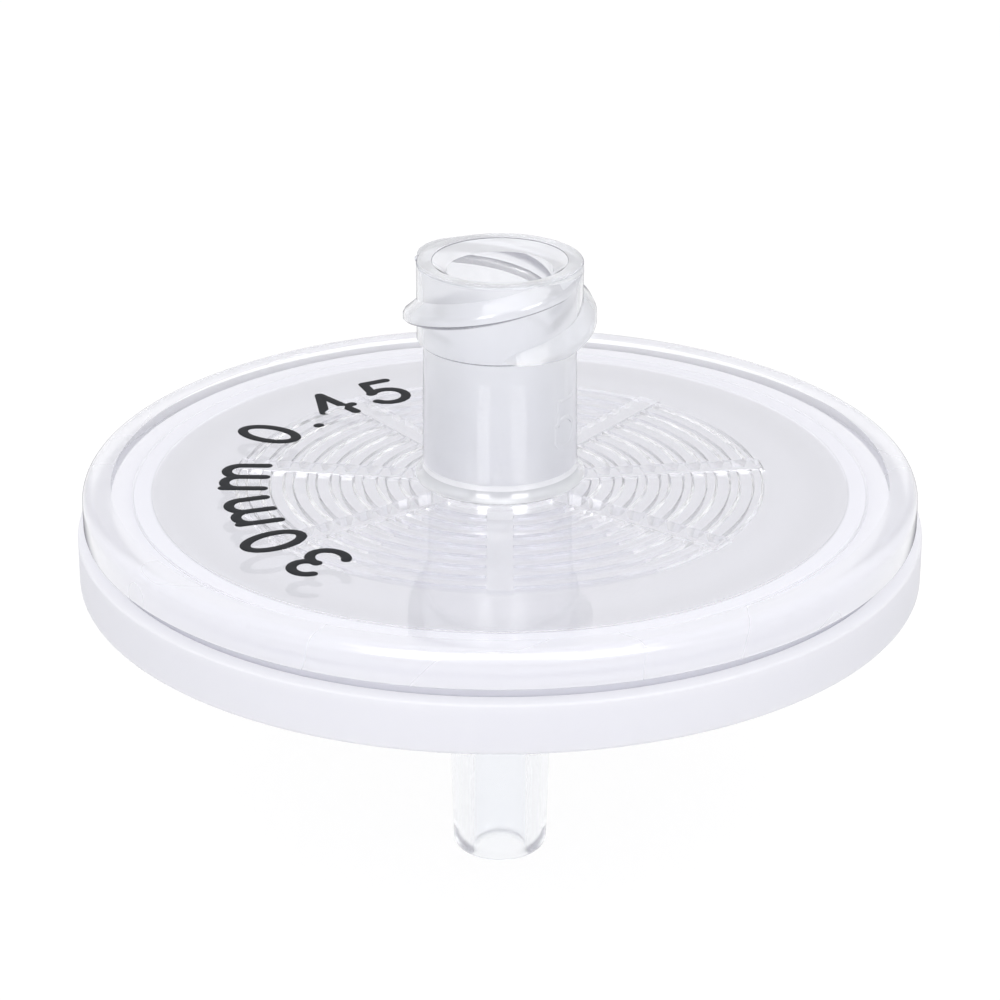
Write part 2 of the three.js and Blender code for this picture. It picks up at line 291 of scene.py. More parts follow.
def inlet_profile():
    socket_floor = HUB_TOP - SOCKET_DEPTH
    socket_length = SOCKET_DEPTH - LEAD_IN_DEPTH
    edge = FLANGE_RADIUS - FLANGE_ROUNDING
    lower_edge = FLANGE_RADIUS - FLANGE_LOWER_ROUNDING
    flare = STEM_BASE_RADIUS + STEM_FLARE_WIDTH
    return [
        (INLET_HOLE_RADIUS, PLATE_BOTTOM),
        (CHAMBER_RADIUS, PLATE_BOTTOM),
        (CHAMBER_RADIUS, MEMBRANE_TOP - CONTACT_PRESS),
        (POCKET_RADIUS, MEMBRANE_TOP - CONTACT_PRESS),
        (POCKET_RADIUS, MEMBRANE_BOTTOM - CONTACT_PRESS),
        (SKIRT_INNER_RADIUS, MEMBRANE_BOTTOM - CONTACT_PRESS),
        (SKIRT_INNER_RADIUS, SKIRT_BOTTOM),
        (SKIRT_OUTER_RADIUS, SKIRT_BOTTOM),
        (SKIRT_OUTER_RADIUS, FLANGE_BOTTOM),
        *arc(lower_edge, FLANGE_BOTTOM + FLANGE_LOWER_ROUNDING, FLANGE_LOWER_ROUNDING,
             FLANGE_LOWER_ROUNDING, -90, 0, steps=3),
        *arc(edge, DISC_TOP - FLANGE_ROUNDING, FLANGE_ROUNDING, FLANGE_ROUNDING, 0, 90, steps=12),
        (SKIRT_INNER_RADIUS, DISC_TOP),
        *arc(flare, DISC_TOP + STEM_FLARE_HEIGHT, STEM_FLARE_WIDTH, STEM_FLARE_HEIGHT, 270, 180, steps=12),
        (STEM_TOP_RADIUS, HEAD_BOTTOM),
        (HEAD_RADIUS - HEAD_CHAMFER, HEAD_BOTTOM),
        (HEAD_RADIUS, HEAD_BOTTOM + HEAD_CHAMFER),
        *arc(HEAD_RADIUS - HEAD_ROUNDING, HUB_TOP - HEAD_ROUNDING, HEAD_ROUNDING, HEAD_ROUNDING,
             0, 90, steps=4),
        *arc(MOUTH_RADIUS + MOUTH_ROUNDING, HUB_TOP - MOUTH_ROUNDING, MOUTH_ROUNDING, MOUTH_ROUNDING,
             90, 145, steps=3),
        (SOCKET_RADIUS, HUB_TOP - LEAD_IN_DEPTH),
        (SOCKET_RADIUS - LUER_TAPER * (HEAD_HEIGHT - LEAD_IN_DEPTH), HEAD_BOTTOM),
        (SOCKET_RADIUS - LUER_TAPER * socket_length, socket_floor),
        (INLET_HOLE_RADIUS, socket_floor),
    ]


def lug_fullness(angle):
    """The share of its full height that a lug has along its sweep: blunt at first, sunk at the end."""
    rise = LUG_START_FULLNESS + angle / LUG_BLUNT_ANGLE
    left_to_run_out = (LUG_SWEEP - angle) / LUG_RUN_OUT_ANGLE
    fall = LUG_END_FULLNESS + (1 - LUG_END_FULLNESS) * left_to_run_out
    return min(rise, 1, fall)


def lug(start):
    """One lug: a trapezoid drawn at its start, extruded step by step up and round the head."""
    root = HEAD_RADIUS - LUG_ROOT_DEPTH
    flank_share = (LUG_CREST_RADIUS - root) / (LUG_CREST_RADIUS - HEAD_RADIUS)
    crest_bottom = LUG_LOWER_FLANK - LUG_FOOT_BELOW
    crest_top = crest_bottom + LUG_CREST_WIDTH
    root_bottom = crest_bottom - LUG_LOWER_FLANK * flank_share
    root_top = crest_top + LUG_UPPER_FLANK * flank_share
    steps = round(LUG_SWEEP / LUG_STEP)
    deselect()
    bpy.ops.mesh.primitive_grid_add(x_subdivisions=steps, y_subdivisions=LUG_ROWS, size=1)
    bar = bpy.context.object
    bpy.ops.object.mode_set(mode="EDIT")
    bpy.ops.mesh.select_all(action="SELECT")
    bpy.ops.mesh.extrude_region_move(TRANSFORM_OT_translate={"value": (0, 0, 1)})
    bpy.ops.mesh.select_all(action="SELECT")
    bpy.ops.mesh.normals_make_consistent(inside=False)
    bpy.ops.object.mode_set(mode="OBJECT")
    # x runs along the lug, y across it, and z from its root to its crest
    for corner in bar.data.vertices:
        along = (corner.co.x + 0.5) * LUG_SWEEP
        crest = corner.co.z > 0.5
        row = round((corner.co.y + 0.5) * LUG_ROWS)
        if crest:
            reach = (LUG_CREST_RADIUS - root) * lug_fullness(along)
            if row in (0, LUG_ROWS):
                reach -= LUG_CHAMFER
            side = (crest_bottom, crest_bottom + LUG_CHAMFER, crest_top - 2 * LUG_CHAMFER, crest_top)[row]
        else:
            reach = 0
            side = root_bottom + (root_top - root_bottom) * row / LUG_ROWS
        height = HEAD_BOTTOM + LUG_START_RISE + LUG_LEAD * along / 360 + side
        angle = math.radians(start + along)
        corner.co = ((root + reach) * math.cos(angle), (root + reach) * math.sin(angle), height)
    bpy.ops.object.mode_set(mode="EDIT")
    bpy.ops.mesh.select_all(action="SELECT")
    bpy.ops.mesh.normals_make_consistent(inside=False)
    bpy.ops.object.mode_set(mode="OBJECT")
    return bar


def ring_cutter(radius, width, bottom, top, draft=0):
    """A ring about the axis, whose walls lean in by the draft between its bottom and its top."""
    inner, outer = radius - width / 2, radius + width / 2
    return turned("ring", [(inner - draft, bottom), (outer + draft, bottom), (outer - draft, top),
                           (inner + draft, top)])


def channel_cutter(reach, width, bottom, top, draft=0):
    """A bar from near the axis outwards, whose sides and end lean in by the draft."""
    start = INLET_WELL_RADIUS / 2
    bar = block("channel", (start, -width / 2, bottom), (reach, width / 2, top))
    for corner in bar.data.vertices:
        lean = -draft if corner.co.z > (bottom + top) / 2 else draft
        corner.co.y += math.copysign(lean, corner.co.y)
        if corner.co.x > start + CUT_PAST:
            corner.co.x += lean
    return bar


def mould_nub():
    """The small nub that the mould leaves on the side of the head."""
    deselect()
    angle = math.radians(NUB_ANGLE)
    place = (HEAD_RADIUS * math.cos(angle), HEAD_RADIUS * math.sin(angle), HUB_TOP - NUB_DROP)
    bpy.ops.mesh.primitive_uv_sphere_add(segments=12, ring_count=8, radius=NUB_RADIUS, location=place)
    nub = bpy.context.object
    bpy.ops.object.transform_apply(location=True, rotation=True, scale=True)
    return nub


def clear_shell():
    shell = turned("inlet_shell_clear", inlet_profile())
    low, high = HEAD_BOTTOM + LUG_BOTTOM_GAP, HUB_TOP - LUG_TOP_GAP
    for start in (LUG_START, LUG_START + 180):
        winding = combine(lug(start), ring_cutter(HEAD_RADIUS, LUG_TRIM_WIDTH, low, high), "INTERSECT")
        combine(shell, winding, "UNION")
    combine(shell, stem_digit(), "UNION")
    combine(shell, mould_nub(), "UNION")
    below = PLATE_BOTTOM - CUT_PAST
    for count in range(GROOVE_COUNT):
        radius = GROOVE_OUTER_RADIUS - GROOVE_PITCH * count
        groove = ring_cutter(radius, GROOVE_WIDTH, below, PLATE_BOTTOM + GROOVE_DEPTH, GROOVE_DRAFT)
        combine(shell, groove, "DIFFERENCE")
    for angle in CHANNEL_ANGLES:
        channel = channel_cutter(CHANNEL_REACH, CHANNEL_WIDTH, below, PLATE_BOTTOM + CHANNEL_DEPTH,
                                 GROOVE_DRAFT)
        turn_by(channel, angle - 90)
        combine(shell, channel, "DIFFERENCE")
    well = turned("well", [(0, below), (INLET_WELL_RADIUS, below),
                           (INLET_WELL_RADIUS, PLATE_BOTTOM + INLET_WELL_DEPTH),
                           (0, PLATE_BOTTOM + INLET_WELL_DEPTH)], WELL_TURN)
    return combine(shell, well, "DIFFERENCE")


# Raised and printed characters


def bow(across, up, width, height, start, end, steps=14):
    """Points along part of an ellipse, for a round stroke."""
    return arc(across, up, width, height, start, end, steps)


# Strokes of each character, one unit high, and its width
CHARACTERS = {
    "0": (0.56, [bow(0.28, 0.5, 0.28, 0.5, 90, 450, 36)]),
    "3": (0.56, [bow(0.25, 0.76, 0.25, 0.24, 155, -90), bow(0.25, 0.27, 0.31, 0.27, 90, -150)]),
    "4": (0.62, [[(0.46, 0), (0.46, 1)], [(0.46, 1), (0, 0.3)], [(0, 0.3), (0.62, 0.3)]]),
    "5": (0.58, [[(0.53, 1), (0.1, 1)], [(0.1, 1), (0.06, 0.53)], bow(0.26, 0.31, 0.32, 0.31, 137, -150)]),
    "m": (0.96, [[(0, 0), (0, 0.66)], [*bow(0.24, 0.42, 0.24, 0.24, 180, 0), (0.48, 0)],
                 [*bow(0.72, 0.42, 0.24, 0.24, 180, 0), (0.96, 0)]]),
    ".": (0.02, [[(0, 0), (0.02, 0)]]),
}


def stroke(points, pen, closed=False):
    """A bar with round ends along flat points, as wide as the pen and half as high."""
    deselect()
    half = pen / 2
    path = bpy.data.curves.new("stroke", "CURVE")
    path.dimensions = "3D"
    path.bevel_depth = half
    path.bevel_resolution = 2
    path.use_fill_caps = True
    line = path.splines.new("POLY")
    places = [(*point, 1) for point in points]
    if closed:
        places.pop()
        line.use_cyclic_u = True
    else:
        start = round_end(points[0], points[1], half)
        end = round_end(points[-1], points[-2], half)
        places = [*start, *places, *reversed(end)]
    line.points.add(len(places) - 1)
    for spot, (across, up, fullness) in zip(line.points, places):
        spot.co = (across, up, 0, 1)
        spot.radius = fullness
    bar = bpy.data.objects.new("stroke", path)
    bpy.context.collection.objects.link(bar)
    bar.select_set(True)
    bpy.context.view_layer.objects.active = bar
    bpy.ops.object.convert(target="MESH")
    return bpy.context.object


def round_end(tip, next_point, half, steps=5):
    """Points that carry a stroke past its tip while it narrows to a round end."""
    back = math.dist(tip, next_point)
    along = [(a - b) / back for a, b in zip(tip, next_point)]
    points = []
    for step in range(steps):
        angle = math.radians(TIP_ANGLE + (90 - TIP_ANGLE) * step / steps)
        reach = half * math.cos(angle)
        points.append((tip[0] + along[0] * reach, tip[1] + along[1] * reach, math.sin(angle)))
    return points


def character(letter, height, pen):
    """One character from its lower left corner, its strokes joined."""
    shape = None
    for points in CHARACTERS[letter][1]:
        scaled = [(across * (height - pen) + pen / 2, up * (height - pen) + pen / 2) for across, up in points]
        bar = stroke(scaled, pen, closed=letter == "0")
        shape = combine(shape, bar, "UNION") if shape else bar
    return shape


def character_width(letter, height, pen):
    return CHARACTERS[letter][0] * (height - pen) + pen


def disc_print():
    """Size and rating, stamped along the edge of the grooves, tops outwards."""
    letters = []
    middle = PRINT_BASE_RADIUS + PRINT_HEIGHT / 2
    angle = PRINT_START
    for letter in PRINT_TEXT:
        if letter == " ":
            angle -= math.degrees(PRINT_WORD_GAP / middle)
            continue
        width = character_width(letter, PRINT_HEIGHT, PRINT_PEN)
        angle -= math.degrees(width / 2 / middle)
        shape = character(letter, PRINT_HEIGHT, PRINT_PEN)
        lean = math.radians(angle - 90)
        for corner in shape.data.vertices:
            across, up = corner.co.x - width / 2, corner.co.y + PRINT_BASE_RADIUS
            corner.co = (
                across * math.cos(lean) - up * math.sin(lean),
                across * math.sin(lean) + up * math.cos(lean) + PRINT_CENTRE_Y,
                DISC_TOP + corner.co.z * PRINT_THICKNESS / (PRINT_PEN / 2),
            )
        letters.append(shape)
        angle -= math.degrees((width / 2 + PRINT_GAP) / middle)
    deselect()
    for shape in letters:
        shape.select_set(True)
    bpy.context.view_layer.objects.active = letters[0]
    bpy.ops.object.join()
    text = bpy.context.object
    text.name = "disc_print"
    bpy.ops.object.mode_set(mode="EDIT")
    bpy.ops.mesh.select_all(action="SELECT")
    bpy.ops.mesh.bisect(plane_co=(0, 0, DISC_TOP - PRINT_SINK), plane_no=(0, 0, 1), use_fill=True,
                        clear_inner=True)
    bpy.ops.mesh.select_all(action="SELECT")
    bpy.ops.mesh.normals_make_consistent(inside=False)
    bpy.ops.object.mode_set(mode="OBJECT")
    return text


def stem_digit():
    """A cavity number, raised on the side of the stem."""
    digit = character(STEM_DIGIT, STEM_DIGIT_HEIGHT, STEM_DIGIT_PEN)
    width = character_width(STEM_DIGIT, STEM_DIGIT_HEIGHT, STEM_DIGIT_PEN)
    for corner in digit.data.vertices:
        angle = math.radians(STEM_DIGIT_ANGLE) + (corner.co.x - width / 2) / STEM_TOP_RADIUS
        radius = STEM_TOP_RADIUS + corner.co.z * STEM_DIGIT_RISE / (STEM_DIGIT_PEN / 2)
        corner.co = (radius * math.cos(angle), radius * math.sin(angle), STEM_DIGIT_FOOT + corner.co.y)
    return digit


# Nylon membrane


def membrane_sheet():
    rounding = MEMBRANE_ROUNDING
    low, high = MEMBRANE_BOTTOM + MEMBRANE_CLEARANCE, MEMBRANE_TOP
    edge = MEMBRANE_RADIUS - rounding
    return turned("membrane_sheet", [
        (0, low),
        *arc(edge, low + rounding, rounding, rounding, -90, 0, 3),
        *arc(edge, high - rounding, rounding, rounding, 0, 90, 3),
        (0, high),
    ])


# White outlet shell


def spout_radius(height):
    return SPOUT_TIP_RADIUS + LUER_TAPER * min(height, SPOUT_TAPER_LENGTH)


def outlet_profile():
    root = spout_radius(SPOUT_TAPER_LENGTH)
    tip = spout_radius(SPOUT_TIP_ROUNDING) - SPOUT_TIP_ROUNDING
    corner = OUTLET_RADIUS - OUTLET_BOTTOM_ROUNDING
    lip = OUTLET_RADIUS - OUTLET_TOP_ROUNDING
    return [
        (SPOUT_BORE_RADIUS, 0),
        *arc(tip, SPOUT_TIP_ROUNDING, SPOUT_TIP_ROUNDING, SPOUT_TIP_ROUNDING, -90, 0, 10),
        (root, SPOUT_TAPER_LENGTH),
        *arc(root + SPOUT_FILLET, DISC_BOTTOM - SPOUT_FILLET, SPOUT_FILLET, SPOUT_FILLET, 180, 90, 10),
        *arc(corner, DISC_BOTTOM + OUTLET_BOTTOM_ROUNDING, OUTLET_BOTTOM_ROUNDING,
             OUTLET_BOTTOM_ROUNDING, -90, 0, 6),
        *arc(lip, LIP_TOP - OUTLET_TOP_ROUNDING, OUTLET_TOP_ROUNDING, OUTLET_TOP_ROUNDING, 0, 90, 4),
        (OUTLET_WALL_INNER_RADIUS, LIP_TOP),
        (OUTLET_WALL_INNER_RADIUS, JOINT_GROOVE_BOTTOM),
        (SEAT_RADIUS, JOINT_GROOVE_BOTTOM),
        (SEAT_RADIUS, MEMBRANE_BOTTOM),
        (SPOUT_BORE_RADIUS, MEMBRANE_BOTTOM),
    ]


def white_shell():
    shell = turned("outlet_shell_white", outlet_profile())
    above = MEMBRANE_BOTTOM + CUT_PAST
    for count in range(DRAIN_COUNT):
        radius = DRAIN_OUTER_RADIUS - DRAIN_PITCH * count
        drain = ring_cutter(radius, DRAIN_WIDTH, MEMBRANE_BOTTOM - DRAIN_DEPTH, above)
        combine(shell, drain, "DIFFERENCE")
    for count in range(SPOKE_COUNT):
        half = SPOKE_WIDTH / 2
        spoke = block("spoke", (DRAIN_WELL_RADIUS / 2, -half, MEMBRANE_BOTTOM - SPOKE_DEPTH),
                      (SPOKE_REACH, half, above))
        turn_by(spoke, (count + 0.5) * 360 / SPOKE_COUNT)
        combine(shell, spoke, "DIFFERENCE")
    well = turned("well", [(0, MEMBRANE_BOTTOM - DRAIN_WELL_DEPTH),
                           (DRAIN_WELL_RADIUS, MEMBRANE_BOTTOM - DRAIN_WELL_DEPTH),
                           (DRAIN_WELL_RADIUS, above), (0, above)], WELL_TURN)
    return combine(shell, well, "DIFFERENCE")


# Finishes

# Painted shade: a dark matt colour for the clear plastic's outlines, chamfers and edge lines
PAINTED_EDGE_SHADE = (0.2, 0.2, 0.23, 1)  # outlines and chamfers of the clear plastic
OUTLINE_START = 0.78  # from 0, seen square on, to 1, only grazed
WALL_SHADE_START = 0.75
WALL_SHADE = (0.8, 0.8, 0.8, 1)
NYLON_PRESSED_FADE = 0.1  # width of the step from the free sheet to the pressed one

# The share of its tone that the membrane keeps at each radius, darker in a ring of painted shade before the
# clamp
NYLON_PAINTED_SHADE_RINGS = ((11, 1), (12.3, 1), (12.7, 0.965), (13.6, 0.95), (13.9, 0.99), (14.05, 0.96), (14.2, 1))


def new_material(name):
    material = bpy.data.materials.new(name)
    material.use_nodes = True
    return material, material.node_tree.nodes, material.node_tree.links


def feed(links, value, socket):
    """Links an output to a socket, or sets the socket where the value is a plain one."""
    if isinstance(value, bpy.types.NodeSocket):
        links.new(value, socket)
    else:
        socket.default_value = value


def noise(nodes, links, scale, detail):
    """A cloudy pattern that is fixed to the piece."""
    texture = nodes.new("ShaderNodeTexNoise")
    texture.inputs["Scale"].default_value = scale
    texture.inputs["Detail"].default_value = detail
    place = nodes.new("ShaderNodeTexCoord")
    links.new(place.outputs["Object"], texture.inputs["Vector"])
    return texture.outputs["Fac"]


def ranged(nodes, links, source, low, high):
    """Spreads a pattern between two values."""
    spread = nodes.new("ShaderNodeMapRange")
    spread.inputs["To Min"].default_value = low
    spread.inputs["To Max"].default_value = high
    links.new(source, spread.inputs["Value"])
    return spread.outputs["Result"]


def eased(nodes, links, source, start, end=1, full=1):
    """Rises softly from 0 to its full value while the source goes from the start to the end."""
    rise = nodes.new("ShaderNodeMapRange")
    rise.interpolation_type = "SMOOTHSTEP"
    rise.inputs["From Min"].default_value = start
    rise.inputs["From Max"].default_value = end
    rise.inputs["To Max"].default_value = full
    links.new(source, rise.inputs["Value"])
    return rise.outputs["Result"]


def bumped(nodes, links, source, depth):
    bump = nodes.new("ShaderNodeBump")
    bump.inputs["Strength"].default_value = 1
    bump.inputs["Distance"].default_value = depth
    links.new(source, bump.inputs["Height"])
    return bump.outputs["Normal"]


def mixed(nodes, links, share, first, second, way="MIX"):
    """A colour made of two others, by the second one's share."""
    mix = nodes.new("ShaderNodeMix")
    mix.data_type = "RGBA"
    mix.blend_type = way
    feed(links, share, mix.inputs["Factor"])
    feed(links, first, mix.inputs["A"])
    feed(links, second, mix.inputs["B"])
    return mix.outputs["Result"]


def blended(nodes, links, share, first, second):
    """A surface made of two others, by the second one's share."""
    blend = nodes.new("ShaderNodeMixShader")
    links.new(share, blend.inputs["Fac"])
    links.new(first, blend.inputs[1])
    links.new(second, blend.inputs[2])
    return blend.outputs["Shader"]


def calculated(nodes, links, operation, first, second):
    step = nodes.new("ShaderNodeMath")
    step.operation = operation
    feed(links, first, step.inputs[0])
    feed(links, second, step.inputs[1])
    return step.outputs[0]


def see_through(nodes, links, colour):
    """Lets light straight through, tinted."""
    surface = nodes.new("ShaderNodeBsdfTransparent")
    feed(links, colour, surface.inputs["Color"])
    return surface.outputs["BSDF"]


def lets_light_through(nodes, links, surface, last_bend):
    """Lamps and soft light reach what lies under the plastic unbent, less those that graze a wall.

    Eyes see it bent, as many times as the last bend tells. After that, a path runs straight on.
    """
    graze = nodes.new("ShaderNodeLayerWeight")
    grazed = eased(nodes, links, graze.outputs["Facing"], WALL_SHADE_START)
    lit = see_through(nodes, links, mixed(nodes, links, grazed, (0.985, 0.985, 0.99, 1), WALL_SHADE))
    path = nodes.new("ShaderNodeLightPath")
    for_light = calculated(nodes, links, "MAXIMUM", path.outputs["Is Shadow Ray"],
                           path.outputs["Is Diffuse Ray"])
    seen = blended(nodes, links, for_light, surface, lit)
    past_last = calculated(nodes, links, "GREATER_THAN", path.outputs["Ray Depth"], last_bend)
    ending = blended(nodes, links, past_last, seen, see_through(nodes, links, (0.98, 0.98, 0.985, 1)))
    links.new(ending, nodes["Material Output"].inputs["Surface"])


def clear_plastic(name, colour, clarity, roughness, outline=0, outline_from=OUTLINE_START, coat=0,
                  mottle=4e-6, outside=None, last_bend=6):
    """Polypropylene copolymer, clear where it is thin and hazier where it is thick.

    The roughness drifts between two values. The outline tells how much painted shade, a dark matt
    layer, covers the plastic where the eye only grazes it, and the colour outside is that of a face
    looked at from the air, if that differs.
    """
    material, nodes, links = new_material(name)
    shader = nodes["Principled BSDF"]
    shader.inputs["Base Color"].default_value = colour
    if outside:
        side = nodes.new("ShaderNodeNewGeometry")
        tint = mixed(nodes, links, side.outputs["Backfacing"], outside, colour)
        links.new(tint, shader.inputs["Base Color"])
    shader.inputs["Transmission Weight"].default_value = clarity
    shader.inputs["IOR"].default_value = 1.49
    drift = noise(nodes, links, 120, detail=2)
    links.new(ranged(nodes, links, drift, *roughness), shader.inputs["Roughness"])
    flow = noise(nodes, links, 350, detail=1)
    links.new(bumped(nodes, links, flow, mottle), shader.inputs["Normal"])
    shader.inputs["Coat Weight"].default_value = coat
    shader.inputs["Coat Roughness"].default_value = 0.05
    surface = shader.outputs["BSDF"]
    # Painted shade: a dark matt layer where the eye grazes the face, for the clear plastic's dark outlines
    if outline:
        graze = nodes.new("ShaderNodeLayerWeight")
        edge = eased(nodes, links, graze.outputs["Facing"], outline_from, full=outline)
        dim = nodes.new("ShaderNodeBsdfDiffuse")
        dim.inputs["Color"].default_value = PAINTED_EDGE_SHADE
        surface = blended(nodes, links, edge, surface, dim.outputs["BSDF"])
    lets_light_through(nodes, links, surface, last_bend)
    return material


def white_plastic(name, translucency, paleness):
    """White from the air; light that is already within the plastic goes on through it."""
    material, nodes, links = new_material(name)
    shader = nodes["Principled BSDF"]
    cloud = noise(nodes, links, 90, detail=2)
    tint = mixed(nodes, links, cloud, (0.94 * paleness, 0.94 * paleness, paleness, 1),
                 (0.92 * paleness, 0.92 * paleness, 0.985 * paleness, 1))
    links.new(tint, shader.inputs["Base Color"])
    shader.inputs["Subsurface Weight"].default_value = 0.4
    shader.inputs["Subsurface Radius"].default_value = (1, 1, 1)
    shader.inputs["Subsurface Scale"].default_value = 0.001
    shader.inputs["Transmission Weight"].default_value = translucency
    links.new(ranged(nodes, links, cloud, 0.45, 0.55), shader.inputs["Roughness"])
    shader.inputs["Specular IOR Level"].default_value = 0.2
    grain = noise(nodes, links, 2500, detail=2)
    links.new(bumped(nodes, links, grain, 2e-6), shader.inputs["Normal"])
    side = nodes.new("ShaderNodeNewGeometry")
    within = see_through(nodes, links, (0.97, 0.97, 0.99, 1))
    surface = blended(nodes, links, side.outputs["Backfacing"], shader.outputs["BSDF"], within)
    links.new(surface, nodes["Material Output"].inputs["Surface"])
    return material


def distance_from_axis(nodes, links):
    place = nodes.new("ShaderNodeTexCoord")
    flat = nodes.new("ShaderNodeVectorMath")
    flat.operation = "MULTIPLY"
    flat.inputs[1].default_value = (1, 1, 0)
    links.new(place.outputs["Object"], flat.inputs[0])
    radius = nodes.new("ShaderNodeVectorMath")
    radius.operation = "LENGTH"
    links.new(flat.outputs["Vector"], radius.inputs[0])
    return radius.outputs["Value"]


def nylon():
    """Matt sheet, with rings of painted shade before the clamp and a paler band where it is pressed."""
    material, nodes, links = new_material("nylon")
    shader = nodes["Principled BSDF"]
    pores = noise(nodes, links, 4000, detail=3)
    tint = mixed(nodes, links, pores, (0.57, 0.57, 0.615, 1), (0.61, 0.61, 0.655, 1))
    radius = distance_from_axis(nodes, links)
    # The rings before the clamp are painted shade
    rings = nodes.new("ShaderNodeFloatCurve")
    curve = rings.mapping.curves[0]
    curve.points[0].location = (0, 1)
    for reach, level in NYLON_PAINTED_SHADE_RINGS:
        curve.points.new(reach / MEMBRANE_RADIUS, level)
    rings.mapping.update()
    share = calculated(nodes, links, "DIVIDE", radius, MEMBRANE_RADIUS * MM)
    links.new(share, rings.inputs["Value"])
    ringed = mixed(nodes, links, 1, tint, rings.outputs["Value"], way="MULTIPLY")
    band = eased(nodes, links, radius, CHAMBER_RADIUS * MM, (CHAMBER_RADIUS + NYLON_PRESSED_FADE) * MM)
    links.new(mixed(nodes, links, band, ringed, (0.77, 0.77, 0.83, 1)), shader.inputs["Base Color"])
    shader.inputs["Roughness"].default_value = 0.9
    links.new(bumped(nodes, links, pores, 5e-6), shader.inputs["Normal"])
    return material


def ink():
    material, nodes, links = new_material("print_ink")
    shader = nodes["Principled BSDF"]
    patches = noise(nodes, links, 900, detail=3)
    tint = mixed(nodes, links, patches, (0.010, 0.011, 0.014, 1), (0.016, 0.017, 0.021, 1))
    links.new(tint, shader.inputs["Base Color"])
    shader.inputs["Roughness"].default_value = 0.6
    shader.inputs["Specular IOR Level"].default_value = 0.15
    links.new(bumped(nodes, links, patches, 3e-6), shader.inputs["Normal"])
    return material


# Which face takes which finish

NEAR = 0.01  # slack for telling one face's place from the next one's
BEYOND = 0.1  # wider slack, where nothing else is close

# How much of a face's normal points up
LOOKS_DOWN = -0.9
SLANTS_DOWN = -0.5
LEAD_IN_SLOPE = 0.2
FLARE_SLOPE = 0.25
NOT_A_WALL = 0.95
LEVEL = 0.98


def clear_finishes():
    """The clear shell's finishes, first that of the plate, by the place that each is for."""
    return {
        "plate": clear_plastic("plate_plastic", (0.985, 0.985, 1, 1), 0.93, (0.03, 0.08), last_bend=4),
        "rim": clear_plastic("rim_plastic", (0.82, 0.82, 0.87, 1), 0.5, (0.22, 0.34), outline=0.85,
                             outline_from=0.8, coat=1, mottle=8e-6),
        "stem": clear_plastic("stem_plastic", (0.84, 0.85, 0.88, 1), 0.6, (0.3, 0.36), outline=0.5, coat=1),
        "head": clear_plastic("head_plastic", (0.83, 0.84, 0.875, 1), 0.62, (0.2, 0.28), outline=0.8, coat=1),
        "bore": clear_plastic("bore_plastic", (0.99, 0.99, 1, 1), 0.97, (0.03, 0.06), outline=0.2),
        # Painted shade: the groove and channel walls are a greyer copy of the plate's plastic, darkened where
        # grazed, for dark lines along the grooves
        "groove wall": clear_plastic("groove_wall_plastic", (0.84, 0.84, 0.89, 1), 0.85, (0.05, 0.1),
                                     outline=0.7, outline_from=0.4, last_bend=4),
        # Painted shade: faces that look down are dark seen through the plastic and pale from the air
        "underside": clear_plastic("underside_plastic", (0.32, 0.32, 0.35, 1), 0.55, (0.1, 0.15),
                                   outside=(0.95, 0.95, 0.98, 1)),
        # Painted shade: a darker copy of the stem's plastic, so that the upturned flare isn't lit brighter
        # than the stem
        "flare": clear_plastic("flare_plastic", (0.64, 0.65, 0.68, 1), 0.4, (0.2, 0.27), coat=1),
        # Painted shade: from the air the faces beside the joint are dark, for the shade in the gap; from
        # within they are pale
        "joint": clear_plastic("joint_plastic", (0.98, 0.98, 1, 1), 0.25, (0.2, 0.3),
                               outside=(0.65, 0.65, 0.71, 1)),
        # Painted shade: the head's top edge is drawn as a dark line
        "edge": clear_plastic("edge_plastic", (0.78, 0.79, 0.83, 1), 0.5, (0.15, 0.25), outline=1,
                              outline_from=0.5),
        # Painted shade: faces that slant down, and the ring round the mouth, take the dark edge colour
        "chamfer": clear_plastic("chamfer_plastic", PAINTED_EDGE_SHADE, 0.5, (0.15, 0.25)),
        # Painted light: the lead-in is a paler copy of the head's plastic, for the white ring round the mouth
        "lead-in": clear_plastic("lead_in_plastic", (0.95, 0.955, 0.98, 1), 0.55, (0.05, 0.1), coat=0.5),
        # Painted highlight: the raised digit is a paler copy of the stem's plastic, so that its outline shows
        # light
        "digit": clear_plastic("digit_plastic", (0.94, 0.945, 0.97, 1), 0.35, (0.2, 0.25), coat=0.8),
    }


def hub_place(height, radius, upward):
    """Which finish a face above the plate takes."""
    # Faces that look down take the underside finish, with painted shade seen from within
    if upward < LOOKS_DOWN:
        return "underside"
    # Faces that slant down take the chamfer finish's painted shade
    if upward < SLANTS_DOWN:
        return "chamfer"
    # The head's top edge takes painted shade as a dark line
    if height > HUB_TOP - HEAD_EDGE and radius > HEAD_RADIUS - HEAD_EDGE and upward < LEVEL:
        return "edge"
    # The ring round the mouth takes painted shade as a dark line
    if height > HUB_TOP - MOUTH_EDGE and MOUTH_RADIUS < radius < MOUTH_RADIUS + MOUTH_EDGE and upward < LEVEL:
        return "chamfer"
    if radius < MOUTH_RADIUS + NEAR:
        return "lead-in" if height > HUB_TOP - LEAD_IN_DEPTH and upward > LEAD_IN_SLOPE else "bore"
    if height > HEAD_BOTTOM:
        return "head"
    # The flare takes a finish with painted shade
    if height < DISC_TOP + STEM_FLARE_HEIGHT and upward > FLARE_SLOPE:
        return "flare"
    return "digit" if radius > STEM_BASE_RADIUS + NEAR else "stem"


